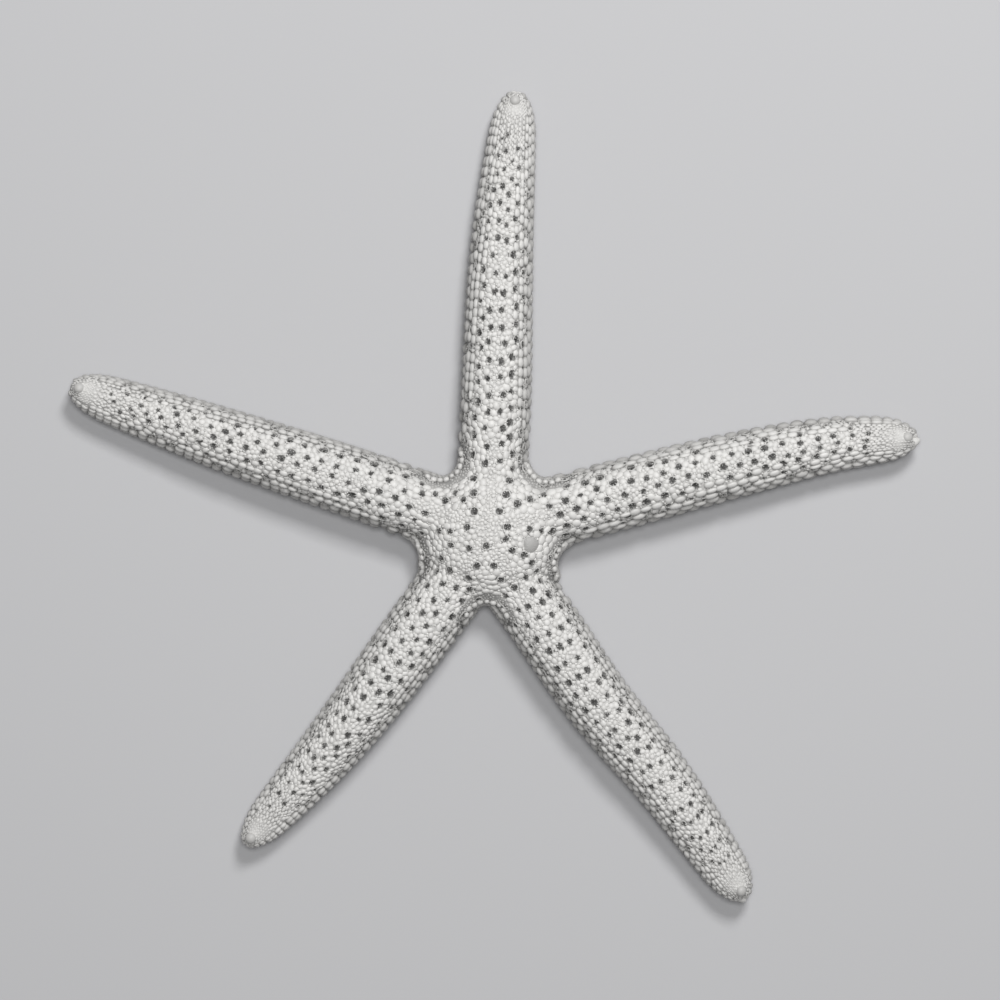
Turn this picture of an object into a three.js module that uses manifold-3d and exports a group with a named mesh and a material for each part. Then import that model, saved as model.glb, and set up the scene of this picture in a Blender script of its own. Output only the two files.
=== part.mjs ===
// Dried finger starfish: a small central disc and five long round arms that grew as one
// skeleton, lying on its flat underside. Millimetres, +Z up, seen from its upper side.

import * as THREE from 'three';
import { mergeVertices } from 'three/addons/utils/BufferGeometryUtils.js';
import Module from 'manifold-3d';

// Driving dimensions, in millimetres and degrees.

// Each arm's midline runs through these places, from inside the disc to the arm's end,
// given as a distance from the middle of the disc and a bearing counted from +X. taper is
// the share of its width that an arm has lost at its end. notch is the middle of the round
// hollow between the arm and the next one.
const ARMS = [
  { route: [[0, 0], [20, 14.9], [46, 14.6], [64, 13.7], [77.4, 12.0]], taper: 0.44, notch: [16.1, 49] },
  { route: [[0, 0], [20, 86.4], [50, 87.2], [77.4, 86.3]], taper: 0.46, notch: [15.1, 124] },
  { route: [[0, 0], [20, 160.6], [50, 161.2], [78.0, 161.1]], taper: 0.45, notch: [16.2, 198] },
  { route: [[0.8, 324], [20, 236.0], [45, 234.4], [70.2, 232.4]], taper: 0.52, notch: [16.5, 269] },
  {
    route: [[1.4, 213], [20, 301.0], [37, 302.6], [53, 304.8], [79.4, 304.9]],
    taper: 0.43,
    notch: [16.6, 338.5],
  },
];
const ARM_HALF_WIDTH = 6.1;
const ARM_TAPER_POWER = 3;
const ARM_ROUND_END = 6.5;
// An arm's half height over its half width, and how far its middle stands above the
// sole, counted in half heights.
const ARM_FLATNESS = 0.9;
const ARM_STANDING = 0.85;
const TIP_LIFT = 1.6;
const TIP_LIFT_LENGTH = 12;
const ARM_SIDES = 20;
const ARM_STEPS = 10;
const ROUND_END_STEPS = 4;

const DISC_TOP = 12;
const DISC_RADIUS = 14.2;
const DISC_PLACE = [0.6, -0.8];
const DISC_SIDES = 25;
const DISC_STEPS = 8;
const NOTCH_RADIUS = 3.4;
const NOTCH_SIDES = 24;

const GROOVE_HALF_WIDTH = 1.1;
const GROOVE_DEPTH = 0.5;
const GROOVE_SIDES = 6;
const GROOVE_STEPS = 12;
const MOUTH_RADIUS = 2.6;
const MOUTH_DEPTH = 2.2;

const TIP_PLATE_RADIUS = 1.1;
const TIP_PLATE_FROM_END = 2.1;
const SIEVE_PLATE_RADIUS = 1.3;
const SIEVE_PLATE_PLACE = [7.5, -2.6];

const wasm = await Module();
wasm.setup();

function toSolid(geometry) {
  geometry.deleteAttribute('normal');
  geometry.deleteAttribute('uv');
  const merged = mergeVertices(geometry);
  return new wasm.Manifold(new wasm.Mesh({
    numProp: 3,
    vertProperties: new Float32Array(merged.attributes.position.array),
    triVerts: new Uint32Array(merged.index.array),
  }));
}

function toGeometry(solid) {
  const mesh = solid.getMesh();
  const geometry = new THREE.BufferGeometry();
  geometry.setAttribute('position', new THREE.BufferAttribute(mesh.vertProperties, 3));
  geometry.setIndex(new THREE.BufferAttribute(mesh.triVerts, 1));
  return geometry;
}

// The midline of an arm seen from above, and its length.
function armMidline(arm) {
  const places = arm.route.map(([distance, bearing]) => {
    const angle = THREE.MathUtils.degToRad(bearing);
    return new THREE.Vector3(distance * Math.cos(angle), distance * Math.sin(angle), 0);
  });
  return new THREE.CatmullRomCurve3(places);
}

function halfWidth(arm, along, length) {
  const share = along / length;
  const taper = 1 - arm.taper * share ** ARM_TAPER_POWER;
  const intoEnd = Math.max(0, (along - length + ARM_ROUND_END) / ARM_ROUND_END);
  return ARM_HALF_WIDTH * taper * Math.sqrt(Math.max(0, 1 - intoEnd ** 2));
}

// How far the underside has left the ground, near the upturned end of an arm.
function soleLift(along, length) {
  const share = Math.max(0, (along - length + TIP_LIFT_LENGTH) / TIP_LIFT_LENGTH);
  return TIP_LIFT * share ** 2;
}

function armMiddleHeight(arm, along, length) {
  const wide = halfWidth(arm, Math.min(along, length - ARM_ROUND_END), length);
  return soleLift(along, length) + ARM_STANDING * ARM_FLATNESS * wide;
}

// An arm is turned as a straight spindle along Y, then each of its points is carried to
// the bent midline and set at its height.
function armSolid(arm) {
  const midline = armMidline(arm);
  const length = midline.getLength();
  const straight = length - ARM_ROUND_END;
  const outline = [new THREE.Vector2(0, 0)];
  for (let step = 0; step < ARM_STEPS; step += 1) {
    const along = straight * step / ARM_STEPS;
    outline.push(new THREE.Vector2(halfWidth(arm, along, length), along));
  }
  for (let step = 0; step < ROUND_END_STEPS; step += 1) {
    const turn = Math.PI / 2 * step / ROUND_END_STEPS;
    const along = straight + ARM_ROUND_END * Math.sin(turn);
    outline.push(new THREE.Vector2(halfWidth(arm, along, length), along));
  }
  outline.push(new THREE.Vector2(0, length));
  const geometry = new THREE.LatheGeometry(outline, ARM_SIDES);
  const points = geometry.attributes.position;
  for (let index = 0; index < points.count; index += 1) {
    const along = Math.min(points.getY(index), length);
    const place = midline.getPointAt(along / length);
    const heading = midline.getTangentAt(along / length);
    const sideways = points.getX(index);
    const height = armMiddleHeight(arm, along, length) + ARM_FLATNESS * points.getZ(index);
    const x = place.x + heading.y * sideways;
    const y = place.y - heading.x * sideways;
    points.setXYZ(index, x, y, height);
  }
  return toSolid(geometry);
}

// The furrow for the tube feet runs under the whole arm and out through its end.
function grooveSolid(arm) {
  const midline = armMidline(arm);
  const length = midline.getLength();
  const places = [];
  for (let step = 0; step <= GROOVE_STEPS; step += 1) {
    const along = length * step / GROOVE_STEPS;
    const place = midline.getPointAt(along / length);
    place.z = soleLift(along, length) + GROOVE_DEPTH;
    places.push(place);
  }
  const heading = midline.getTangentAt(1);
  const beyond = places[GROOVE_STEPS].clone().addScaledVector(heading, 2);
  beyond.z += TIP_LIFT / 2;
  const route = new THREE.CatmullRomCurve3([...places, beyond]);
  const section = new THREE.Shape();
  section.absarc(0, 0, GROOVE_HALF_WIDTH, 0, 2 * Math.PI);
  return toSolid(new THREE.ExtrudeGeometry(section, {
    steps: GROOVE_STEPS,
    curveSegments: GROOVE_SIDES / 2,
    extrudePath: route,
  }));
}

function discSolid() {
  const outline = new THREE.SplineCurve([
    new THREE.Vector2(0, DISC_TOP),
    new THREE.Vector2(0.45 * DISC_RADIUS, 0.96 * DISC_TOP),
    new THREE.Vector2(0.75 * DISC_RADIUS, 0.78 * DISC_TOP),
    new THREE.Vector2(0.95 * DISC_RADIUS, 0.5 * DISC_TOP),
    new THREE.Vector2(DISC_RADIUS, 0.3 * DISC_TOP),
    new THREE.Vector2(0.9 * DISC_RADIUS, -0.05 * DISC_TOP),
  ]).getPoints(DISC_STEPS);
  const closed = [...outline, new THREE.Vector2(0, -0.05 * DISC_TOP)].reverse();
  const turned = new THREE.LatheGeometry(closed, DISC_SIDES).rotateX(Math.PI / 2);
  return toSolid(turned.translate(DISC_PLACE[0], DISC_PLACE[1], 0));
}

// The upright round that hollows the disc's edge between an arm and the next one.
function notchSolid(arm) {
  const [distance, bearing] = arm.notch;
  const angle = THREE.MathUtils.degToRad(bearing);
  const round = new THREE.CylinderGeometry(NOTCH_RADIUS, NOTCH_RADIUS, 3 * DISC_TOP, NOTCH_SIDES);
  round.rotateX(Math.PI / 2).translate(distance * Math.cos(angle), distance * Math.sin(angle), 0);
  return toSolid(round);
}

function dome(radius, x, y, z) {
  return toSolid(new THREE.SphereGeometry(radius, 12, 8).translate(x, y, z));
}

// The plate that closes an arm's upper side at its end.
function tipPlateSolid(arm) {
  const midline = armMidline(arm);
  const length = midline.getLength();
  const along = length - TIP_PLATE_FROM_END;
  const place = midline.getPointAt(along / length);
  const top = armMiddleHeight(arm, along, length)
    + ARM_FLATNESS * halfWidth(arm, along, length);
  return dome(TIP_PLATE_RADIUS, place.x, place.y, top - 0.5 * TIP_PLATE_RADIUS);
}

function sievePlateSolid() {
  const [x, y] = SIEVE_PLATE_PLACE;
  return dome(SIEVE_PLATE_RADIUS, x, y, 0.78 * DISC_TOP);
}

function starfishGeometry() {
  let body = discSolid();
  for (const arm of ARMS) {
    body = body.subtract(notchSolid(arm));
  }
  for (const arm of ARMS) {
    body = body.add(armSolid(arm)).add(tipPlateSolid(arm));
  }
  body = body.add(sievePlateSolid());
  const ground = new THREE.BoxGeometry(400, 400, 40).translate(0, 0, -20);
  body = body.subtract(toSolid(ground));
  for (const arm of ARMS) {
    body = body.subtract(grooveSolid(arm));
  }
  const mouth = new THREE.SphereGeometry(1, 12, 8).rotateX(Math.PI / 2);
  body = body.subtract(toSolid(mouth.scale(MOUTH_RADIUS, MOUTH_RADIUS, MOUTH_DEPTH)));
  const geometry = toGeometry(body);
  geometry.computeBoundingBox();
  const middle = geometry.boundingBox.getCenter(new THREE.Vector3());
  return geometry.translate(-middle.x, -middle.y, 0);
}

const skeleton = new THREE.MeshStandardMaterial({
  color: 0xe6e4df,
  roughness: 0.7,
  metalness: 0,
});
const starfish = new THREE.Mesh(starfishGeometry(), skeleton);
starfish.name = 'starfish';

const part = new THREE.Group();
part.add(starfish);

export default part;
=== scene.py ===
import bisect
import math
import random
from collections import namedtuple

import bmesh
import bpy
import numpy as np
from mathutils import Matrix, Vector, kdtree, noise
from mathutils.bvhtree import BVHTree


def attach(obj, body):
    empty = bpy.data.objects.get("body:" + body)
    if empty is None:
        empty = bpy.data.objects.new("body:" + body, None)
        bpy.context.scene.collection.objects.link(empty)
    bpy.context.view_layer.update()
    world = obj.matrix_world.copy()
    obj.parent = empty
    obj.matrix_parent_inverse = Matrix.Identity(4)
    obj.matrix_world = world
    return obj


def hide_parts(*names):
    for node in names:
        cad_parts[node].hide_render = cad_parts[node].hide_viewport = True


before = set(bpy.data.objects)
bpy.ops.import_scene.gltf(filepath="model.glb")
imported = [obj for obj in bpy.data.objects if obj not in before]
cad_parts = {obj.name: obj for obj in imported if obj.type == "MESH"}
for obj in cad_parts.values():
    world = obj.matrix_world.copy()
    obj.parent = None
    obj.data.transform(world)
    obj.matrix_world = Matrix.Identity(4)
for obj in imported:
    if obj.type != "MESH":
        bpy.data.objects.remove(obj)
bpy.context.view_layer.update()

MM = 0.001
BODY = "root"
NODE = "starfish"
UP = Vector((0, 0, 1))
# Rays that look down start this far above the ground.
WELL_ABOVE = UP * 0.04

# The arms, counted round from the right-hand one. A midline runs through these places,
# given in millimetres from the middle of the arms and degrees counted from +X. An arm is
# rolled by some degrees towards its left. plate is how large its plates are next to the
# right-hand arm's, and past the share fine of its length they are finer still. notch is the
# middle of the round hollow between the arm and the next one. end_plate is how far the round
# end plate is from the arm's end, and how far it stands out. split is how deep the cleft in
# the arm's end is, and lobes how far the left and right lobes reach, in millimetres.
ARMS = [
    {
        "name": "right_arm", "route": [(0, 0), (20, 14.9), (46, 14.6), (64, 13.7), (77.4, 12.0)],
        "roll": 9, "plate": 1.0, "fine": 0.86, "notch": (16.1, 49),
        "end_plate": (2.0, 0.16), "split": 1.5, "lobes": (0.1, 0.5),
    },
    {
        "name": "top_arm", "route": [(0, 0), (20, 86.4), (50, 87.2), (77.4, 86.3)],
        "roll": 2, "plate": 0.82, "fine": 0.84, "notch": (15.1, 124),
        "end_plate": (1.9, 0.2), "split": 0.7, "lobes": (0.1, 0.05),
    },
    {
        "name": "left_arm", "route": [(0, 0), (20, 160.6), (50, 161.2), (78.0, 161.1)],
        "roll": -9, "plate": 0.76, "fine": 0.84, "notch": (16.2, 198),
        "end_plate": (2.1, 0.3), "split": 0.3, "lobes": (-0.2, -0.2),
    },
    {
        "name": "lower_left_arm", "route": [(0.8, 324), (20, 236.0), (45, 234.4), (70.2, 232.4)],
        "roll": -4, "plate": 0.66, "fine": 0.5, "notch": (16.5, 269),
        "end_plate": (1.8, 0.5), "split": 1.0, "lobes": (0.1, 0.15),
    },
    {
        "name": "lower_right_arm",
        "route": [(1.4, 213), (20, 301.0), (37, 302.6), (53, 304.8), (79.4, 304.9)],
        "roll": 8, "plate": 0.68, "fine": 0.76, "notch": (16.6, 338.5),
        "end_plate": (1.7, 0.3), "split": 1.0, "lobes": (0.1, 0.4),
    },
]
CROWN_OFFSET = Vector((0.6, -0.8, 0)) * MM
ARM_TAPER = 0.44
ARM_TAPER_POWER = 3
ARM_MIDDLE_HEIGHT = 4.6 * MM
FLATNESS = 0.9
ROLL_START = 20 * MM
# How far from its end an arm's height at the end is taken, in millimetres.
TIP_INSET = 0.8
CLEFT_SLOPE = 1.15
END_ZONE = 5 * MM
FINE_ZONE = 13 * MM

# The skin is sunk under the plates that cover it, less so near the arm ends.
SKIN_VOXEL = 0.48 * MM
SKIN_SINK_TOP = 0.2 * MM
SKIN_SINK_SIDE = 0.36 * MM
MERGE_GAP = 0.001 * MM

# Soft pore patches: rows along each arm, at these turns from straight up, and their sizes.
PORE_ROWS = [
    (-69, 0.75), (-55, 0.8), (-34, 1.0), (-12, 0.95),
    (12, 0.95), (34, 1.0), (55, 0.8), (69, 0.75),
]
# From this turn on, the patches lie in straighter rows and further apart.
SIDE_PORES_FROM = 50
PORE_RADIUS = 0.68 * MM
PORE_PITCH = 2.95 * MM
PORE_GAP = 0.4 * MM
PORE_DEPTH = 1.6 * MM
PORES_START = 10.5 * MM
PORES_STOP = 7 * MM

# Pore patches on the disc, in millimetres from the middle of the arms.
DISC_PORES = [
    (3.4, 0.5), (2.0, 3.2), (-2.4, 3.2), (-3.7, 0.4), (-3.4, -3.3), (-0.3, -2.9),
    (3.1, -1.6), (4.2, -3.7), (6.4, -4.5), (7.7, -5.9), (8.6, -7.4), (7.3, 0.1),
    (9.5, -0.2), (5.2, 4.5), (7.4, 5.4), (9.7, 6.2), (3.2, 6.2), (3.8, 8.7),
    (-2.5, 6.5), (-2.6, 9.0), (-4.4, 5.3), (-5.8, 6.5), (-7.5, 5.1), (-9.1, 6.3),
    (-6.7, -0.3), (-8.7, -0.3), (-6.6, -2.8), (-8.4, -5.1), (-6.8, -7.2), (-2.0, -6.4),
    (1.0, -6.4), (-3.4, -8.6), (2.3, -8.9), (-3.2, -10.6), (4.6, -10.2),
]

# Rows of oval plates along the sides: turn from straight up, length, width and height. A
# row starts this far from the middle of the arms, or goes on round the notch to the next arm
# if that is 0, and stops this far from the arm's end. All but the turn are in millimetres.
SIDE_ROWS = [
    (34, 2.0, 1.35, 0.5, 34, 9),
    (48, 2.15, 1.4, 0.6, 22, 6.5),
    (62, 2.4, 1.45, 0.75, 16.5, 3),
    (76, 2.6, 1.5, 0.9, 0, 0.5),
    (91, 2.6, 1.6, 1.2, 0, 0.5),
    (106, 2.6, 1.5, 0.95, 0, 0.5),
    (121, 2.6, 1.5, 0.7, 0, 0.5),
]
SIDE_STEP = 0.25 * MM
# How far a side plate stands out, as a share of its height.
SIDE_OUT = 0.36
# From this turn on, the plates of the rows lie level with each other.
ALIGNED_FROM = 70
# A row that goes round a notch leaves its arm this far from the middle of the arms.
ROW_NOTCH = 19 * MM
ROW_NOTCH_STEPS = 90
# The side plates are smaller on the disc and near the arm ends.
DISC_EDGE = 13.2 * MM
DISC_FADE = 4.5 * MM
END_FADE = 9 * MM

# A chain of beads runs this many degrees round each notch.
BEAD_SPAN = 150
BEAD_PITCH = 1.12 * MM
NOTCH_RADIUS = 3.4 * MM

# Plates over the rest of the skin: their radii in millimetres, largest first.
LEVELS = [0.78, 0.66, 0.55, 0.45, 0.36, 0.28, 0.21, 0.155]
SKIN_SAMPLES = 150000
GROOVE_CLEAR = 1.9 * MM
BELOW_SLOPE = -0.35
# This near the middle of a notch the plates are small and painted darker as shade in the hollow, and
# this near they lie along its edge.
NOTCH_BAND = 5.3 * MM
NOTCH_BEND = 8.5 * MM
# A star of finer plates runs out from the middle along the arms.
STAR_REACH = 16 * MM
STAR_HALF_WIDTH = 1.2 * MM
DISC_MIDDLE = 7 * MM
CROWN_START = 22 * MM
CROWN_SLOPE = 0.97

# Small scales near the arm ends: the turns of their rows, and their width, length and height.
SCALE_ROWS = range(-48, 49, 8)
SCALE_SIZE = (0.66 * MM, 1.05 * MM, 0.2 * MM)
END_SCALE_ROWS = range(-66, 67, 6)
END_SCALE_SIZE = (0.4 * MM, 0.7 * MM, 0.1 * MM)

# Length, width and height of the round plate and the lobes at each arm's end.
END_PLATE_SIZE = (1.95 * MM, 1.9 * MM, 0.8 * MM)
END_PLATE_TONE = 0.6
LOBE_SIZE = (4.0 * MM, 1.8 * MM, 1.1 * MM)
LOBE_OUT = 0.75 * MM
LOBE_TONE = 0.85

SIEVE_PLACE = Vector((7.5, -2.6, 0)) * MM
SIEVE_RADIUS = 1.55 * MM
SIEVE_SIZE = (3.4 * MM, 3.1 * MM, 0.8 * MM)
SIEVE_OUT = 0.12 * MM
SIEVE_TONE = 0.4
SIEVE_GROOVES = 15
SIEVE_GROOVE_DEPTH = 0.018

# Rows of spines beside each furrow: how far aside, pitch and thickness in millimetres, and lean.
SPINE_ROWS = [(1.2, 0.72, 0.42, 0.5), (1.75, 0.95, 0.6, 0.15)]
SPINES_START = 3.2 * MM
SPINES_STOP = 1.5 * MM
# Jaw plates: how far from the middle they are, and their length. All are in millimetres.
JAWS = [(1.5, 1.5), (2.7, 1.7)]
JAW_HEIGHT = 0.62
JAW_THICKNESS = 0.6

BOWL_DEPTH = 0.82
RIM_THICKNESS = 0.27
FULL_TURN = 6.28
SHAPES_EACH = 3

draw = random.Random(11)


def clamped(value):
    return min(max(value, 0), 1)


def toward(degrees):
    """The level direction at some degrees from +X."""
    return Vector((math.cos(math.radians(degrees)), math.sin(math.radians(degrees)), 0))


def leftward(ahead):
    """The level direction to the left of another."""
    return Vector((-ahead.y, ahead.x, 0))


def spline(points, share):
    """A place on the smooth line through the points, at a share of its whole run."""
    spans = len(points) - 1
    run = clamped(share) * spans
    span = min(int(run), spans - 1)
    rest = run - span
    before = points[max(span - 1, 0)]
    start = points[span]
    end = points[span + 1]
    after = points[min(span + 2, spans)]
    bend = 2 * before - 5 * start + 4 * end - after
    curl = 3 * start - before - 3 * end + after
    return 0.5 * (2 * start + (end - before) * rest + bend * rest ** 2 + curl * rest ** 3)


class Arm:
    """The midline of one arm, and the width of the arm along it."""

    STEPS = 200

    def __init__(self, facts, middle):
        self.name = facts["name"]
        self.roll = facts["roll"]
        self.fine = facts["fine"]
        self.plate = facts["plate"]
        self.end_plate = facts["end_plate"]
        self.split = facts["split"] * MM
        self.lobes = facts["lobes"]
        points = [middle + toward(turn) * far * MM for far, turn in facts["route"]]
        self.line = [spline(points, step / self.STEPS) for step in range(self.STEPS + 1)]
        self.runs = [0]
        for start, end in zip(self.line, self.line[1:]):
            self.runs.append(self.runs[-1] + (end - start).length)
        self.length = self.runs[-1]
        self.headings = [
            (self.line[min(step + 1, self.STEPS)] - self.line[max(step - 1, 0)]).normalized()
            for step in range(self.STEPS + 1)
        ]
        far, turn = facts["notch"]
        self.notch = middle + toward(turn) * far * MM
        start = self.line[-1] - self.heading(self.length) * TIP_INSET * MM + WELL_ABOVE
        self.tip_height = skin_tree.ray_cast(start, -UP)[0].z

    def place(self, along):
        step = min(max(bisect.bisect_right(self.runs, along), 1), self.STEPS)
        start, end = self.runs[step - 1], self.runs[step]
        return self.line[step - 1].lerp(self.line[step], (along - start) / (end - start))

    def heading(self, along):
        step = min(max(bisect.bisect_right(self.runs, along), 0), self.STEPS)
        return self.headings[step]

    def cleft(self, place):
        """How far a place is inside the cleft in the arm's end, if it is above 0."""
        start = place - self.line[-1]
        ahead = self.heading(self.length)
        aside = abs(start.x * ahead.y - start.y * ahead.x)
        return start.dot(ahead) + self.split - CLEFT_SLOPE * aside

    def taper(self, along):
        """The arm's width along it, as a share of its width at the disc."""
        return 1 - ARM_TAPER * (along / self.length) ** ARM_TAPER_POWER


def merged_copy(node, name):
    """A new mesh object with a CAD node's shape, its loose triangles joined up."""
    piece = bpy.data.objects.new(name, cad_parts[node].data.copy())
    bpy.context.scene.collection.objects.link(piece)
    shape = bmesh.new()
    shape.from_mesh(piece.data)
    bmesh.ops.remove_doubles(shape, verts=shape.verts, dist=MERGE_GAP)
    shape.to_mesh(piece.data)
    shape.free()
    piece.data.materials.clear()
    return piece


def remeshed(piece, voxel):
    """The piece as even small faces, smoothed over the old facets."""
    remesh = piece.modifiers.new("even", "REMESH")
    remesh.mode = "VOXEL"
    remesh.voxel_size = voxel
    smooth = piece.modifiers.new("smooth", "SMOOTH")
    smooth.factor = 0.5
    smooth.iterations = 6
    flat = piece.evaluated_get(bpy.context.evaluated_depsgraph_get()).to_mesh()
    shape = bmesh.new()
    shape.from_mesh(flat)
    piece.modifiers.clear()
    return shape


# ---------------------------------------------------------------- the surface to cover

body_wall = merged_copy(NODE, "body_wall")
skin = remeshed(body_wall, SKIN_VOXEL)
skin.normal_update()
skin_tree = BVHTree.FromBMesh(skin)
cad_points = [vert.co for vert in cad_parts[NODE].data.vertices]
crown = max(cad_points, key=lambda point: point.z)
MIDDLE = Vector((crown.x, crown.y, 0)) - CROWN_OFFSET
arms = [Arm(facts, MIDDLE) for facts in ARMS]


def tree_of(points):
    """A tree that finds the nearest of these points."""
    tree = kdtree.KDTree(len(points))
    for number, point in enumerate(points):
        tree.insert(point, number)
    tree.balance()
    return tree


arm_tree = tree_of([point for arm in arms for point in arm.line])
notch_tree = tree_of([arm.notch for arm in arms])


def nearest_arm(point):
    """The arm under a place, how far along it the place is, and how far beside it."""
    found, index, _ = arm_tree.find(Vector((point.x, point.y, 0)))
    number, step = divmod(index, Arm.STEPS + 1)
    aside = (Vector((point.x, point.y, 0)) - found).length
    return arms[number], arms[number].runs[step], aside


def round_arm(arm, along, turn):
    """Where the skin is, and its normal, turned that many degrees from the arm's top."""
    angle = math.radians(turn + arm.roll * min(1, along / ROLL_START))
    side = leftward(arm.heading(along))
    start = arm.place(along) + UP * ARM_MIDDLE_HEIGHT
    out = side * math.sin(angle) + UP * math.cos(angle) * FLATNESS
    place, normal, _, _ = skin_tree.ray_cast(start, out)
    return place, normal


def crowning(normal):
    """How much the skin faces up here: 1 on the crown of an arm and 0 on its sides."""
    return clamped((normal.z - 0.6) / 0.3)


# ---------------------------------------------------------------- plates and grains


def cut_flat(shape, height):
    """Cuts away what is below a height, and closes the cut."""
    everything = [*shape.verts, *shape.edges, *shape.faces]
    bmesh.ops.bisect_plane(
        shape, geom=everything, plane_co=(0, 0, height), plane_no=(0, 0, -1), clear_outer=True,
    )
    bmesh.ops.holes_fill(shape, edges=[edge for edge in shape.edges if edge.is_boundary])


def swell_to_square(x, y, squareness):
    """How much further out a place goes when a round outline turns into a rounded square."""
    return (abs(x) ** squareness + abs(y) ** squareness) ** (-1 / squareness)


def dome_shape(rounds, rings, seed, squareness=2.5, bluntness=2):
    """A closed cushion of unit size, flatter on top than a ball and a little uneven."""
    shape = bmesh.new()
    bmesh.ops.create_uvsphere(shape, u_segments=rounds, v_segments=rings, radius=1)
    cut_flat(shape, -0.02)
    for vert in shape.verts:
        wide = math.hypot(vert.co.x, vert.co.y)
        swell = swell_to_square(wide, vert.co.z, squareness)
        ends = 1
        if wide > 0.001:
            ends = swell_to_square(vert.co.x / wide, vert.co.y / wide, bluntness)
        lump = swell * ends + 0.13 * noise.noise(vert.co * 1.3 + Vector((seed * 5.1, 0, 0)))
        vert.co = Vector((vert.co.x * lump, vert.co.y * lump, vert.co.z * swell))
    bmesh.ops.recalc_face_normals(shape, faces=shape.faces)
    return taken_apart(shape)


def ball_shape(rounds, rings):
    """A smooth closed ball of unit radius, its lower half painted darker as shade."""
    shape = bmesh.new()
    bmesh.ops.create_uvsphere(shape, u_segments=rounds, v_segments=rings, radius=1)
    return taken_apart(shape, lambda z: clamped(z + 1))


def grain_shape(subdivisions):
    """A small closed round grain of unit radius."""
    shape = bmesh.new()
    bmesh.ops.create_icosphere(shape, subdivisions=subdivisions, radius=1)
    return taken_apart(shape)


def spine_shape():
    """A blunt closed spine of unit radius."""
    shape = bmesh.new()
    bmesh.ops.create_uvsphere(shape, u_segments=5, v_segments=5, radius=1)
    return taken_apart(shape)


def taken_apart(shape, shade=clamped):
    """The points, faces and paleness of a finished bmesh, ready to be repeated. The paleness comes from
    each point's height and paints the lower part darker, as shade.
    """
    shape.verts.index_update()
    points = np.array([vert.co for vert in shape.verts])
    faces = [[vert.index for vert in face.verts] for face in shape.faces]
    tops = np.array([shade(vert.co.z) for vert in shape.verts])
    shape.free()
    return points, faces, tops


def painted(mesh, tones, tops, material):
    """Gives a mesh smooth faces, each point's tone and height, and the finish that reads them. The
    finish paints shade where the height is low, and some tones hold painted shade.
    """
    mesh.polygons.foreach_set("use_smooth", np.ones(len(mesh.polygons), bool))
    for title, values in (("tone", tones), ("top", tops)):
        attribute = mesh.attributes.new(title, "FLOAT", "POINT")
        attribute.data.foreach_set("value", np.array(values, np.float32))
    mesh.materials.append(material)


def finished(piece):
    """Attaches a piece to the body it rides on, and hides the CAD part it covers."""
    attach(piece, BODY)
    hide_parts(NODE)
    return piece


def new_piece(name, mesh):
    piece = bpy.data.objects.new(name, mesh)
    bpy.context.scene.collection.objects.link(piece)
    return finished(piece)


def scattered(name, shapes, places, material):
    """One joined mesh of many small shapes. A place is a choice of shape, a matrix and a tone.

    A matrix that mirrors its shape turns the faces round, so that they still point outwards.
    """
    points, corners, sizes, tones, tops = [], [], [], [], []
    count = 0
    for choice, matrix, tone in places:
        shape_points, shape_faces, shape_tops = shapes[choice]
        turn = np.array(matrix.to_3x3())
        placed = shape_points @ turn.T + np.array(matrix.translation)
        placed[:, 2] -= min(placed[:, 2].min(), 0)
        points.append(placed)
        order = -1 if matrix.determinant() < 0 else 1
        for face in shape_faces:
            corners.extend([corner + count for corner in face[::order]])
            sizes.append(len(face))
        tones.append(np.full(len(shape_points), tone))
        tops.append(shape_tops)
        count += len(shape_points)
    mesh = bpy.data.meshes.new(name)
    mesh.vertices.add(count)
    mesh.vertices.foreach_set("co", np.concatenate(points).astype(np.float32).ravel())
    mesh.loops.add(len(corners))
    mesh.loops.foreach_set("vertex_index", np.array(corners, np.int32))
    mesh.polygons.add(len(sizes))
    starts = np.concatenate([[0], np.cumsum(sizes)[:-1]]).astype(np.int32)
    mesh.polygons.foreach_set("loop_start", starts)
    mesh.update(calc_edges=True)
    painted(mesh, np.concatenate(tones), np.concatenate(tops), material)
    mesh.validate()
    return new_piece(name, mesh)


def set_on_skin(place, normal, along, length, width, height, top):
    """A matrix that lays a unit shape on the skin, long way along, its top that far out."""
    across = normal.cross(along).normalized()
    forward = across.cross(normal).normalized()
    turn = Matrix((forward, across, normal)).transposed().to_4x4()
    size = Matrix.Diagonal((length / 2, width / 2, height, 1))
    centre = place + normal * (top - height)
    return Matrix.Translation(centre) @ turn @ size


def set_pointing(centre, point, thickness, length):
    """A matrix that turns a unit ball into a rod of this size, pointing this way."""
    turn = point.to_track_quat("Z", "Y").to_matrix().to_4x4()
    size = Matrix.Diagonal((thickness / 2, thickness / 2, length / 2, 1))
    return Matrix.Translation(centre) @ turn @ size


# ---------------------------------------------------------------- materials

# The joint colour is painted shade at the foot of each shape. The pit colour is partly the dark tissue
# of the pores and partly painted shade in the pits and between the plates.
PALE = (0.72, 0.711, 0.693)
JOINT_SHADE = (0.17, 0.167, 0.161)
DARK_TISSUE_AND_SHADE = (0.05, 0.049, 0.047)
BOWL = (0.42, 0.413, 0.4)
GRAIN_SCALE = 2600


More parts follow.
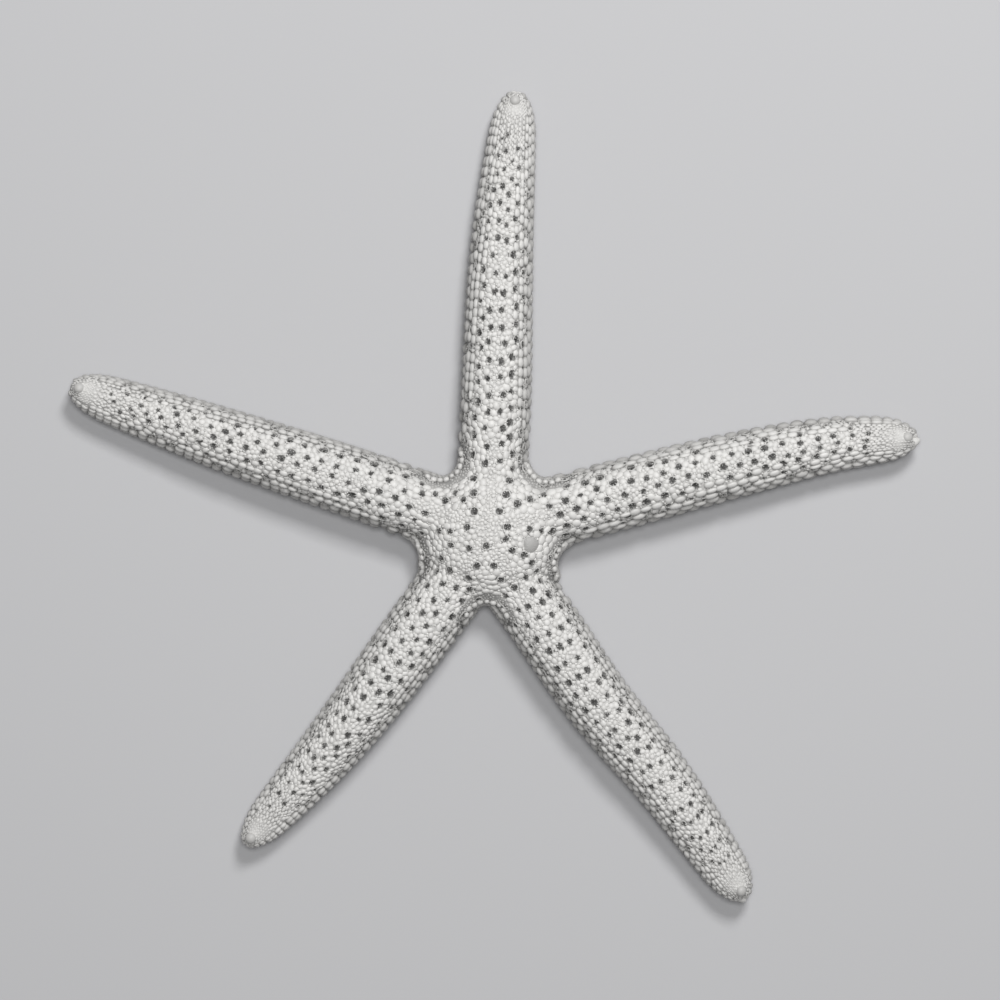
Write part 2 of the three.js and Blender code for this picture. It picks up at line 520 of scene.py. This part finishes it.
def calcite(name, pale, dark, low, high, bump_height):
    """Bleached chalky plate: fine grain, a faint sheen, and painted shade that makes the foot of each
    shape darker than its top.

    low is how pale the painted-shade foot of a shape is, and high is the height from which it is pale.
    """
    material = bpy.data.materials.new(name)
    material.use_nodes = True
    nodes = material.node_tree.nodes
    links = material.node_tree.links
    shader = nodes["Principled BSDF"]
    shader.inputs["Roughness"].default_value = 0.48
    shader.inputs["Specular IOR Level"].default_value = 0.42
    tone = nodes.new("ShaderNodeAttribute")
    tone.attribute_name = "tone"
    top = nodes.new("ShaderNodeAttribute")
    top.attribute_name = "top"
    rise = nodes.new("ShaderNodeMapRange")
    rise.inputs["From Max"].default_value = high
    rise.inputs["To Min"].default_value = low
    links.new(top.outputs["Fac"], rise.inputs["Value"])
    shade = nodes.new("ShaderNodeMath")
    shade.operation = "MULTIPLY"
    links.new(tone.outputs["Fac"], shade.inputs[0])
    links.new(rise.outputs["Result"], shade.inputs[1])
    colour = nodes.new("ShaderNodeMix")
    colour.data_type = "RGBA"
    colour.inputs["A"].default_value = (*dark, 1)
    colour.inputs["B"].default_value = (*pale, 1)
    links.new(shade.outputs["Value"], colour.inputs["Factor"])
    links.new(colour.outputs["Result"], shader.inputs["Base Color"])
    coords = nodes.new("ShaderNodeTexCoord")
    grain = nodes.new("ShaderNodeTexNoise")
    grain.inputs["Scale"].default_value = GRAIN_SCALE
    grain.inputs["Detail"].default_value = 3
    links.new(coords.outputs["Object"], grain.inputs["Vector"])
    bump = nodes.new("ShaderNodeBump")
    bump.inputs["Strength"].default_value = 0.6
    bump.inputs["Distance"].default_value = bump_height
    links.new(grain.outputs["Fac"], bump.inputs["Height"])
    links.new(bump.outputs["Normal"], shader.inputs["Normal"])
    return material


# The lower low is, the darker the painted shade at the foot of each shape; the side plates and the skin
# get the darkest.
plate_finish = calcite("bleached_plate", PALE, JOINT_SHADE, 0.22, 0.65, 0.06 * MM)
side_finish = calcite("side_plate", PALE, JOINT_SHADE, 0.0, 0.75, 0.06 * MM)
skin_finish = calcite("skin_between_plates", PALE, DARK_TISSUE_AND_SHADE, 0.0, 1.0, 0.06 * MM)
bowl_finish = calcite("dark_pore_and_shade", BOWL, DARK_TISSUE_AND_SHADE, 0.0, 1.0, 0.04 * MM)
grain_finish = calcite("pore_grain", PALE, DARK_TISSUE_AND_SHADE, 0.3, 0.8, 0.04 * MM)


# ---------------------------------------------------------------- pore patches

Pore = namedtuple("Pore", "place normal ahead radius stretch")


def disc_pores():
    """The soft pore patches at their places on the disc."""
    found = []
    for x, y in DISC_PORES:
        start = MIDDLE + Vector((x, y, 40)) * MM
        place, normal, _, _ = skin_tree.ray_cast(start, -UP)
        arm, along, _ = nearest_arm(place)
        radius = PORE_RADIUS * draw.uniform(0.85, 1.05)
        found.append(Pore(place, normal, arm.heading(along), radius, 1.0))
    return found


def add_arm_pores(arm, found):
    """Rows of soft pore patches along an arm, wherever they are clear of the ones before."""
    stretch = 2.1 - 0.95 * arm.plate
    for number, (turn, size) in enumerate(PORE_ROWS):
        beside = abs(turn) > SIDE_PORES_FROM
        sway = 1 if beside else 5
        spread = 1.35 if beside else 1
        along = PORES_START + PORE_PITCH * (0.5 * (number % 2) + draw.uniform(0, 0.4))
        while along < arm.length - PORES_STOP - abs(turn) * 0.03 * MM:
            place, normal = round_arm(arm, along, turn + draw.uniform(-sway, sway))
            shrink = (1 - 0.6 * (along / arm.length) ** 4) * (0.6 + 0.4 * arm.plate)
            radius = PORE_RADIUS * size * shrink * draw.uniform(0.78, 1.12)
            if all((place - other.place).length > radius + other.radius + PORE_GAP for other in found):
                found.append(Pore(place, normal, arm.heading(along), radius, stretch))
            along += PORE_PITCH * draw.uniform(0.85, 1.15) * spread


pores = disc_pores()
for arm in arms:
    add_arm_pores(arm, pores)
pore_tree = tree_of([pore.place for pore in pores])


def nearest_pore(place):
    """The nearest soft pore patch, and how far away its middle is."""
    found, index, _ = pore_tree.find(place)
    return pores[index], (found - place).length


# ---------------------------------------------------------------- rows round the sides


class Cover:
    """The plates laid so far, and whether another fits beside them."""

    CELL = 1.7 * MM

    def __init__(self):
        self.cells = {}

    def cell(self, place):
        return tuple(int(math.floor(value / self.CELL)) for value in place)

    def add(self, place, radius):
        self.cells.setdefault(self.cell(place), []).append((place, radius))

    def room(self, place, overlap, least):
        """The radius of the largest plate that fits here, or any number under least."""
        most = self.CELL
        cx, cy, cz = self.cell(place)
        for x in (cx - 1, cx, cx + 1):
            for y in (cy - 1, cy, cy + 1):
                for z in (cz - 1, cz, cz + 1):
                    for other, far in self.cells.get((x, y, z), ()):
                        most = min(most, (place - other).length / overlap - far)
                        if most < least:
                            return most
        return most


cover = Cover()


def side_line(arm, turn, inner, stop):
    """A line on the skin along one side of an arm, from near its end to a distance out."""
    return [
        round_arm(arm, along, turn)
        for along in np.arange(arm.length - stop * MM, inner * MM, -SIDE_STEP)
    ]


def row_path(first, second, turn, stop):
    """A line on the skin along one arm's side, round the notch and out along the next arm."""
    line = []
    along = first.length - stop * MM
    while along > ROW_NOTCH:
        line.append(round_arm(first, along, turn))
        along -= SIDE_STEP
    start = line[-1][0] - MIDDLE
    end_place, _ = round_arm(second, ROW_NOTCH, -turn)
    end = end_place - MIDDLE
    angle = math.atan2(start.y, start.x)
    sweep = (math.atan2(end.y, end.x) - angle) % (2 * math.pi)
    for number in range(1, ROW_NOTCH_STEPS):
        share = number / ROW_NOTCH_STEPS
        bearing = angle + sweep * share
        height = start.z + (end.z - start.z) * share
        out = Vector((math.cos(bearing), math.sin(bearing), 0))
        place, normal, _, _ = skin_tree.ray_cast(MIDDLE + UP * height, out)
        line.append((place, normal))
    along = ROW_NOTCH
    while along < second.length - stop * MM:
        line.append(round_arm(second, along, -turn))
        along += SIDE_STEP
    return [(place, normal) for place, normal in line if place is not None]


def side_shade(normal):
    """Painted shade: plates are darker the more they face sideways."""
    return 0.36 + 0.64 * clamped(normal.z / 0.9)


def side_sizes(place):
    """How long and how wide the side plates are here, as shares of their full size."""
    arm, along, _ = nearest_arm(place)
    from_disc = clamped(((place - MIDDLE).length - DISC_EDGE) / DISC_FADE)
    near_end = clamped(1 - (arm.length - along) / END_FADE)
    length = (0.58 + 0.42 * from_disc) * (1 - 0.15 * along / arm.length - 0.33 * near_end)
    width = (0.7 + 0.3 * from_disc) * arm.taper(along) * (1 - 0.15 * near_end)
    return length * arm.plate, width


def row_ends_before(place, turn):
    """Whether a row at this turn has stopped: in the cleft, or where an arm's plates are fine."""
    arm, along, _ = nearest_arm(place)
    if arm.cleft(place) > -0.4 * MM:
        return True
    first_kept = ALIGNED_FROM if arm.fine < 0.6 else 55
    return along > arm.fine * arm.length and turn < first_kept


def side_row(line, turn, length, width, height):
    """Touching oval plates laid one after another along a line on the skin."""
    places = []
    loose = 0 if turn > ALIGNED_FROM else 1
    wait = draw.uniform(0, length * MM) * loose
    for (start, _), (place, normal) in zip(line, line[1:]):
        if place is None or start is None:
            continue
        wait -= SIDE_STEP
        if wait > 0:
            continue
        long_share, wide_share = side_sizes(place)
        wait += length * MM * long_share * (1 + loose * draw.uniform(-0.1, 0.05))
        pore, far = nearest_pore(place)
        beside_pore = 2 * (far - 0.75 * pore.radius)
        if beside_pore < 0.6 * width * MM or row_ends_before(place, turn):
            continue
        ahead = (place - start).normalized()
        long = length * MM * long_share * draw.uniform(1.1, 1.22)
        wide = min(width * MM * wide_share * draw.uniform(0.95, 1.1), 0.66 * long, beside_pore)
        high = height * MM * (0.4 + 0.6 * long_share)
        matrix = set_on_skin(place, normal, ahead, long, wide, high, SIDE_OUT * high)
        # Each plate's tone varies at random and holds painted shade where it faces sideways.
        places.append((draw.randrange(SHAPES_EACH), matrix, draw.uniform(0.86, 1) * side_shade(normal)))
        for shift in (-0.27, 0.27):
            cover.add(place + ahead * long * shift, wide * 0.46)
    return places


def side_plates():
    """The rows of plates along both sides of every arm, for each arm."""
    places = {}
    for number, arm in enumerate(arms):
        following = arms[(number + 1) % len(arms)]
        places[arm.name] = []
        for turn, length, width, height, inner, stop in SIDE_ROWS:
            if inner == 0:
                lines = [row_path(arm, following, turn, stop)]
            else:
                lines = [side_line(arm, turn, inner, stop), side_line(following, -turn, inner, stop)]
            for line in lines:
                places[arm.name] += side_row(line, turn, length, width, height)
    return places


def notch_beads():
    """A chain of round beads along the upper edge of each notch."""
    places = []
    ring = NOTCH_RADIUS + 0.42 * MM
    count = int(math.radians(BEAD_SPAN) * ring / BEAD_PITCH)
    for arm in arms:
        inward = math.atan2(MIDDLE.y - arm.notch.y, MIDDLE.x - arm.notch.x)
        for number in range(count + 1):
            bearing = inward + (number - count / 2) * BEAD_PITCH / ring
            out = Vector((math.cos(bearing), math.sin(bearing), 0))
            place, _, _, _ = skin_tree.ray_cast(arm.notch + out * ring + WELL_ABOVE, -UP)
            if place is None:
                continue
            place = place - UP * 0.25 * MM
            size = draw.uniform(0.9, 1.3) * MM
            place += out * draw.uniform(-0.12, 0.12) * MM
            normal = (UP * 0.8 - out).normalized()
            along = leftward(out)
            matrix = set_on_skin(place, normal, along, 1.12 * size, 1.05 * size, 0.62 * size, 0.3 * MM)
            places.append((draw.randrange(SHAPES_EACH), matrix, draw.uniform(0.7, 0.9)))
            cover.add(place, 0.5 * size)
    return places


# ---------------------------------------------------------------- plates over the rest


def fine_row(arm, turn, start, stop, width, length, height):
    """One lengthwise row of small scales along an arm."""
    places = []
    radius = width * 0.42
    along = start + draw.uniform(0, length)
    while along < stop:
        place, normal = round_arm(arm, along, turn + draw.uniform(-1, 1))
        along += length * draw.uniform(0.78, 0.92)
        pore, far = nearest_pore(place)
        if far < pore.radius + width * 0.3:
            continue
        if cover.room(place, 0.9, radius) < radius or arm.cleft(place) > -0.3 * MM:
            continue
        cover.add(place, radius)
        wide = width * draw.uniform(0.95, 1.15)
        long = length * 1.05
        matrix = set_on_skin(place, normal, arm.heading(along), long, wide, height, height * 0.22)
        places.append((draw.randrange(SHAPES_EACH), matrix, draw.uniform(0.78, 0.92)))
    return places


def fine_plates():
    """Close lengthwise rows of small scales over the outer part of each arm."""
    places = []
    for arm in arms:
        start = max(arm.length * arm.fine, arm.length - FINE_ZONE)
        middle = arm.length - END_ZONE
        end = arm.length - 0.7 * MM
        for turn in SCALE_ROWS:
            places += fine_row(arm, turn, start, middle, *SCALE_SIZE)
        for turn in END_SCALE_ROWS:
            places += fine_row(arm, turn, middle, end, *END_SCALE_SIZE)
    return places


class Spot:
    """A place on the skin where a plate may lie, and what is near it."""

    def __init__(self, place, normal):
        self.place = place
        self.normal = normal
        self.arm, self.along, self.aside = nearest_arm(place)
        self.below = normal.z < BELOW_SLOPE
        self.fine = self.along > self.arm.fine * self.arm.length
        self.crowning = crowning(normal)
        pore, far = nearest_pore(place)
        self.room = far - pore.radius
        self.notch, _, self.beside = notch_tree.find(Vector((place.x, place.y, 0)))
        self.largest = self.largest_plate()

    def largest_plate(self):
        """The radius of the largest plate allowed here, in millimetres."""
        if self.below:
            return 0.55
        if self.fine:
            return 0.5
        if self.beside < NOTCH_BAND:
            return 0.3 if self.normal.z > 0.3 else 0.45
        if self.along < STAR_REACH and self.aside < STAR_HALF_WIDTH:
            return 0.4
        if (self.place - MIDDLE).xy.length < DISC_MIDDLE:
            return 0.6
        if self.normal.z > CROWN_SLOPE and self.along > CROWN_START:
            return 0.46
        return (0.84 - 0.3 * self.along / self.arm.length) * (0.45 + 0.55 * self.arm.plate)

    def is_open(self):
        """Whether plates may lie here at all."""
        in_furrow = self.below and self.aside < GROOVE_CLEAR
        in_end_zone = self.fine and self.along > self.arm.length - END_ZONE and not self.below
        clear = self.room > 0.1 * MM and self.arm.cleft(self.place) < -0.3 * MM
        return clear and not in_furrow and not in_end_zone

    def takes(self, level):
        """Whether a plate this large belongs here."""
        return level <= self.largest and not ((self.below or self.fine) and level < 0.25)

    def lie(self, level):
        """Which way a plate lies here, and how stretched it is."""
        stretch = draw.uniform(1.0, 1.3)
        heading = self.arm.heading(self.along)
        if self.below:
            return leftward(heading), stretch
        if self.beside < NOTCH_BEND and level > 0.3:
            out = Vector((self.place.x - self.notch.x, self.place.y - self.notch.y, 0))
            turn = Matrix.Rotation(draw.uniform(-0.4, 0.4), 3, "Z")
            return turn @ leftward(out).normalized(), draw.uniform(1.05, 1.55)
        if self.fine:
            left = (self.place - self.arm.place(self.along)).cross(heading).z < 0
            chevron = (self.arm.plate - 1 if left else 1 - self.arm.plate) * 1.5
            turn = Matrix.Rotation(chevron + draw.uniform(-0.3, 0.3), 3, "Z")
            return turn @ heading, draw.uniform(1.15, 1.5)
        return Matrix.Rotation(draw.uniform(-1.5, 1.5), 3, self.normal) @ heading, stretch


def skin_samples(count):
    """Random places all over the skin, spread evenly by area."""
    faces = list(skin.faces)
    areas = np.cumsum([face.calc_area() for face in faces])
    picks = np.searchsorted(areas, [draw.random() * areas[-1] for _ in range(count)])
    samples = []
    for pick in picks:
        face = faces[min(pick, len(faces) - 1)]
        weights = [draw.random() for _ in face.verts]
        total = sum(weights)
        place = sum((vert.co * weight for vert, weight in zip(face.verts, weights)), Vector()) / total
        samples.append((place, face.normal.copy()))
    return samples


def laid_plate(spot, level, radius):
    """The shape, matrix and tone of one plate at a spot."""
    ahead, stretch = spot.lie(level)
    high = radius * (0.72 - 0.2 * spot.crowning) * draw.uniform(0.9, 1.1) + 0.1 * MM
    sunk = (1 - level / LEVELS[0]) * (0.26 - 0.12 * spot.crowning)
    out = 0.0 if spot.below else 0.08 - sunk - 0.14 * (1 - spot.crowning)
    top = out * MM + draw.uniform(-0.06, 0.05) * MM
    lean = Vector((draw.uniform(-1, 1), draw.uniform(-1, 1), draw.uniform(-1, 1)))
    tilted = (spot.normal + lean * (0.1 - 0.05 * spot.crowning)).normalized()
    wide = 2.26 * radius
    long = wide * stretch ** 0.7
    matrix = set_on_skin(spot.place, tilted, ahead, long, wide / stretch ** 0.5, high, top)
    choice = draw.randrange(SHAPES_EACH)
    # Painted shade: darker the more the plate faces sideways, and darker still in the hollow of a notch.
    shade = side_shade(spot.normal) * (0.62 if spot.beside < NOTCH_BAND else 1)
    return choice, matrix, draw.uniform(0.86, 1) * shade


def fill_plates():
    """Plates of all sizes, largest first, wherever the rows leave room, for each arm."""
    upper, under, tiny = ({arm.name: [] for arm in arms} for _ in range(3))
    spots = [Spot(place, normal) for place, normal in skin_samples(SKIN_SAMPLES)]
    spots = [spot for spot in spots if spot.is_open()]
    least = LEVELS[-1] * 0.92 * MM
    for level in LEVELS:
        draw.shuffle(spots)
        waiting = []
        for spot in spots:
            free = cover.room(spot.place, 0.88 - 0.06 * spot.crowning, least)
            if free < least:
                continue
            waiting.append(spot)
            radius = level * MM * draw.uniform(0.92, 1.08)
            if radius > free or spot.room < radius * 0.72 or not spot.takes(level):
                continue
            cover.add(spot.place, radius)
            row = laid_plate(spot, level, radius)
            if level < 0.35:
                tiny[spot.arm.name].append(row)
            elif spot.below:
                under[spot.arm.name].append(row)
            else:
                upper[spot.arm.name].append(row)
        spots = waiting
    return upper, under, tiny


# ---------------------------------------------------------------- arm ends and sieve plate


def arm_ends():
    """The round plate that closes each arm above, and the two lobes beside the cleft."""
    plates, lobes = [], []
    for arm in arms:
        ahead = arm.heading(arm.length)
        side = leftward(ahead)
        from_end, out = arm.end_plate
        place, normal = round_arm(arm, arm.length - from_end * MM, 0)
        matrix = set_on_skin(place, normal, ahead, *END_PLATE_SIZE, out * MM)
        plates.append((0, matrix, END_PLATE_TONE))
        cover.add(place, 0.95 * MM)
        for left, reach in zip((1, -1), arm.lobes):
            inward = (ahead - side * left * 0.3).normalized()
            spot = arm.line[-1] + UP * (arm.tip_height - 1.2 * MM)
            spot += ahead * (reach - 1.95) * MM + side * left * 1.0 * MM
            up = (UP + ahead * 0.3 + side * left * 0.3).normalized()
            matrix = set_on_skin(spot, up, inward, *LOBE_SIZE, LOBE_OUT)
            lobes.append((0, matrix, LOBE_TONE))
    return plates, lobes


def sieve_plate():
    """The domed sieve plate, with fine grooves that wander out from its middle."""
    place, normal, _, _ = skin_tree.ray_cast(MIDDLE + SIEVE_PLACE + WELL_ABOVE, -UP)
    cover.add(place, SIEVE_RADIUS)
    shape = bmesh.new()
    bmesh.ops.create_uvsphere(shape, u_segments=96, v_segments=48, radius=1)
    cut_flat(shape, -0.2)
    bmesh.ops.recalc_face_normals(shape, faces=shape.faces)
    for vert in shape.verts:
        angle = math.atan2(vert.co.y, vert.co.x)
        out = math.hypot(vert.co.x, vert.co.y)
        wander = 2.2 * noise.noise(vert.co * 2.4)
        if vert.co.z > 0:
            groove = math.sin(angle * SIEVE_GROOVES + wander * 3) * min(1, out * 2.2)
            vert.co *= 1 + SIEVE_GROOVE_DEPTH * groove
        outline = 1 + 0.16 * noise.noise(Vector((math.cos(angle), math.sin(angle), 3.3)))
        vert.co.x *= outline
        vert.co.y *= outline
    along = Vector((0.3, 1, 0))
    shape.transform(set_on_skin(place, normal, along, *SIEVE_SIZE, SIEVE_OUT))
    mesh = bpy.data.meshes.new("sieve_plate")
    shape.to_mesh(mesh)
    shape.free()
    count = len(mesh.vertices)
    painted(mesh, [SIEVE_TONE] * count, [1.0] * count, plate_finish)
    return new_piece("sieve_plate", mesh)


# ---------------------------------------------------------------- underside


def spine_row(arm, left, row):
    """One row of spines along one side of an arm's furrow; row 0 is the inner one."""
    places = []
    aside, pitch, thick, lean = SPINE_ROWS[row]
    along = SPINES_START + draw.uniform(0, pitch) * MM
    while along < arm.length - SPINES_STOP:
        ahead = arm.heading(along)
        side = leftward(ahead) * left
        start = arm.place(along) + side * aside * MM + UP * ARM_MIDDLE_HEIGHT * 0.55
        place, _, _, _ = skin_tree.ray_cast(start, -UP)
        along += pitch * MM * draw.uniform(0.93, 1.07)
        if place is None:
            continue
        point = (-UP - side * lean + ahead * draw.uniform(-0.08, 0.08)).normalized()
        size = 0.55 + 0.45 * min(1, (arm.length - along) / (12 * MM))
        long = (1.15 - 0.2 * row) * MM * size
        matrix = set_pointing(place + UP * (long * 0.5), point, thick * MM * size, long)
        places.append((0, matrix, draw.uniform(0.8, 1)))
    return places


def groove_spines():
    """Two rows of short blunt spines along each side of the furrows, leaning over them."""
    places = []
    for arm in arms:
        for left in (-1, 1):
            for row in range(len(SPINE_ROWS)):
                places += spine_row(arm, left, row)
    return places


def mouth_spines():
    """Two rings of five pairs of jaw plates that point in over the mouth."""
    places = []
    for arm, following in zip(arms, arms[1:] + arms[:1]):
        between = (arm.heading(8 * MM) + following.heading(8 * MM)).normalized()
        side = leftward(between)
        for left in (-1, 1):
            for far, long in JAWS:
                spot = MIDDLE + between * far * MM + side * left * (0.32 + 0.12 * far) * MM
                inward = (-between - UP * 0.35 + side * left * 0.1).normalized()
                matrix = set_pointing(spot + UP * JAW_HEIGHT * MM, inward, JAW_THICKNESS * MM, long * MM)
                places.append((0, matrix, draw.uniform(0.85, 1)))
    return places


# ---------------------------------------------------------------- bowls, rims and grains of the pores


def bowl_shape():
    """A small closed bowl of unit radius: the top of a ball folded down into it, painted darker towards
    its bottom as shade.
    """
    shape = bmesh.new()
    bmesh.ops.create_uvsphere(shape, u_segments=8, v_segments=6, radius=1)
    for vert in shape.verts:
        if vert.co.z > 0:
            vert.co.z *= -BOWL_DEPTH
    return taken_apart(shape, lambda z: max(1 - (z / BOWL_DEPTH) ** 2, 0))


def rim_shape(seed):
    """An uneven closed ring of about unit radius, painted darker on its lower half as shade."""
    shape = bmesh.new()
    bmesh.ops.create_circle(shape, segments=4, radius=RIM_THICKNESS)
    shape.transform(Matrix.Translation((1, 0, 0)) @ Matrix.Rotation(math.radians(90), 4, "X"))
    everything = [*shape.verts, *shape.edges]
    bmesh.ops.spin(
        shape, geom=everything, cent=(0, 0, 0), axis=(0, 0, 1), angle=2 * math.pi, steps=10,
        use_merge=True,
    )
    for vert in shape.verts:
        out = Vector((vert.co.x, vert.co.y, 0)).normalized()
        vert.co += out * 0.3 * noise.noise(out * 1.9 + Vector((0, 0, seed * 3.3)))
    bmesh.ops.recalc_face_normals(shape, faces=shape.faces)
    return taken_apart(shape, lambda z: clamped(z / RIM_THICKNESS))


def pore_bowls():
    """A dark bowl in each pore patch, partly the pore's dark tissue and partly painted shade."""
    places = []
    for pore in pores:
        wide = 2.2 * pore.radius
        long = wide * pore.stretch
        out = pore.radius - 0.14 * MM
        matrix = set_on_skin(pore.place, pore.normal, pore.ahead, long, wide, pore.radius, out)
        places.append((0, matrix, draw.uniform(0.6, 1)))
    return places


def pore_rims():
    """An uneven ring round each pore patch, flipped either way."""
    places = []
    for pore in pores:
        wide = 2.36 * pore.radius
        long = wide * pore.stretch * draw.choice((-1, 1))
        wide *= draw.choice((-1, 1))
        matrix = set_on_skin(pore.place, pore.normal, pore.ahead, long, wide, 0.8 * MM, 0.5 * MM)
        places.append((draw.randrange(SHAPES_EACH), matrix, draw.uniform(0.5, 0.7)))
    return places


def pore_grains():
    """Little grains in each pore patch: dark ones near its middle and paler ones round it."""
    places = []
    for pore in pores:
        across = pore.normal.cross(pore.ahead).normalized()
        along = across.cross(pore.normal)
        small = pore.radius < 0.42 * MM
        middle = (1 if small else 3, 0.05, 0.4, 0.0, 0.3)
        outer = (3 if small else 5, 0.55, 0.9, 0.45, 1.0)
        for count, near, far, darkest, palest in (middle, outer):
            first = draw.uniform(0, FULL_TURN)
            for number in range(count):
                angle = first + FULL_TURN * number / count + draw.uniform(-0.5, 0.5)
                out = along * math.cos(angle) * pore.stretch + across * math.sin(angle)
                spot = pore.place + out * pore.radius * draw.uniform(near, far)
                long = draw.uniform(0.28, 0.46) * MM
                deep = draw.uniform(-0.24, -0.04) * MM
                matrix = set_on_skin(spot, pore.normal, out, long, 0.2 * MM, 0.22 * MM, deep)
                places.append((0, matrix, draw.uniform(darkest, palest)))
    return places


# ---------------------------------------------------------------- the pieces

plate_shapes = [dome_shape(8, 6, seed, 2.25) for seed in range(SHAPES_EACH)]
side_shapes = [dome_shape(10, 6, seed, 2.3, 2.5) for seed in range(SHAPES_EACH)]
under_shapes = [dome_shape(7, 6, seed) for seed in range(SHAPES_EACH)]
granule_shapes = [dome_shape(6, 4, seed, 2.0) for seed in range(SHAPES_EACH)]
rim_shapes = [rim_shape(seed) for seed in range(SHAPES_EACH)]
end_plates, lobes = arm_ends()
sieve_plate()
side = side_plates()
beads = notch_beads()
fine = fine_plates()
upper, under, tiny = fill_plates()
scattered("arm_end_plates", [ball_shape(28, 16)], end_plates, plate_finish)
scattered("arm_end_lobes", [ball_shape(24, 14)], lobes, plate_finish)
scattered("notch_beads", side_shapes, beads, side_finish)
scattered("fine_plates", granule_shapes, fine, plate_finish)
for arm in arms:
    scattered("side_plates_" + arm.name, side_shapes, side[arm.name], side_finish)
    scattered("upper_plates_" + arm.name, plate_shapes, upper[arm.name], plate_finish)
    scattered("under_plates_" + arm.name, under_shapes, under[arm.name], plate_finish)
    scattered("granules_" + arm.name, granule_shapes, tiny[arm.name], plate_finish)
scattered("groove_spines", [spine_shape()], groove_spines(), plate_finish)
scattered("mouth_spines", [grain_shape(3)], mouth_spines(), plate_finish)
scattered("pore_bowls", [bowl_shape()], pore_bowls(), bowl_finish)
scattered("pore_rims", rim_shapes, pore_rims(), plate_finish)
scattered("pore_grains", [grain_shape(1)], pore_grains(), grain_finish)


# ---------------------------------------------------------------- the skin itself


def sink_skin():
    """The skin goes in under the plates, and further in at each pore patch.

    Gives the tone of each point: darker where the skin faces sideways, painted shade between the plates,
    and paler near the arm ends.
    """
    normals = [vert.normal.copy() for vert in skin.verts]
    tones = []
    for vert, normal in zip(skin.verts, normals):
        _, index, far = pore_tree.find(vert.co)
        radius = pores[index].radius
        share = clamped(1 - (far - radius) / (radius * 0.35))
        deep = share * share * (3 - 2 * share)
        flat = crowning(normal)
        arm, along, _ = nearest_arm(vert.co)
        near_end = clamped(1 - (arm.length - along - 0.8 * END_ZONE) / (3 * MM))
        sink = SKIN_SINK_SIDE + (SKIN_SINK_TOP - SKIN_SINK_SIDE) * flat
        sink += ((0.15 - 0.12 * flat) * MM - sink) * near_end
        inside = arm.cleft(vert.co)
        if normal.z < -0.6:
            sink = 0
        vert.co -= normal * (sink + deep * (PORE_DEPTH - sink))
        if inside > 0 and along > arm.length - END_ZONE:
            vert.co -= arm.heading(arm.length) * inside
        vert.co.z = max(vert.co.z, 0)
        # Painted shade: the skin between the plates is darker where it faces sideways, and paler near
        # the arm ends.
        tones.append(max(0.2 + 0.5 * flat, (0.55 + 0.23 * flat) * near_end))
    return tones


tones = sink_skin()
skin.to_mesh(body_wall.data)
painted(body_wall.data, tones, [1.0] * len(tones), skin_finish)
finished(body_wall)


# ---------------------------------------------------------------- studio

FLOOR_GREY = (0.5, 0.5, 0.51, 1)


def floor_sheet():
    shape = bmesh.new()
    bmesh.ops.create_grid(shape, x_segments=1, y_segments=1, size=1.5)
    mesh = bpy.data.meshes.new("floor")
    shape.to_mesh(mesh)
    shape.free()
    floor = bpy.data.objects.new("floor", mesh)
    bpy.context.scene.collection.objects.link(floor)
    paper = bpy.data.materials.new("floor_paper")
    paper.use_nodes = True
    shader = paper.node_tree.nodes["Principled BSDF"]
    shader.inputs["Base Color"].default_value = FLOOR_GREY
    shader.inputs["Roughness"].default_value = 0.9
    mesh.materials.append(paper)


def studio_air():
    world = bpy.data.worlds.new("studio_air")
    bpy.context.scene.world = world
    world.use_nodes = True
    background = world.node_tree.nodes["Background"]
    background.inputs["Color"].default_value = (1, 1, 1, 1)
    background.inputs["Strength"].default_value = 0.1


def lamp(name, place, size, power):
    """A square soft lamp that faces the middle of the floor."""
    light = bpy.data.lights.new(name, "AREA")
    light.size = size
    light.energy = power
    lamp_object = bpy.data.objects.new(name, light)
    lamp_object.location = place
    lamp_object.rotation_euler = (-Vector(place)).to_track_quat("-Z", "Y").to_euler()
    bpy.context.scene.collection.objects.link(lamp_object)


def camera():
    """A long lens that looks straight down."""
    lens = bpy.data.cameras.new("camera")
    lens.lens = 135
    eye = bpy.data.objects.new("camera", lens)
    eye.location = (1.14 * MM, -0.7 * MM, 0.664)
    bpy.context.scene.collection.objects.link(eye)
    bpy.context.scene.camera = eye


floor_sheet()
studio_air()
lamp("key", (0.16, 0.42, 0.62), 0.2, 3.6)
lamp("overhead", (0.02, 0.06, 1.0), 0.3, 5.1)
bpy.context.scene.view_settings.view_transform = "Standard"
camera()
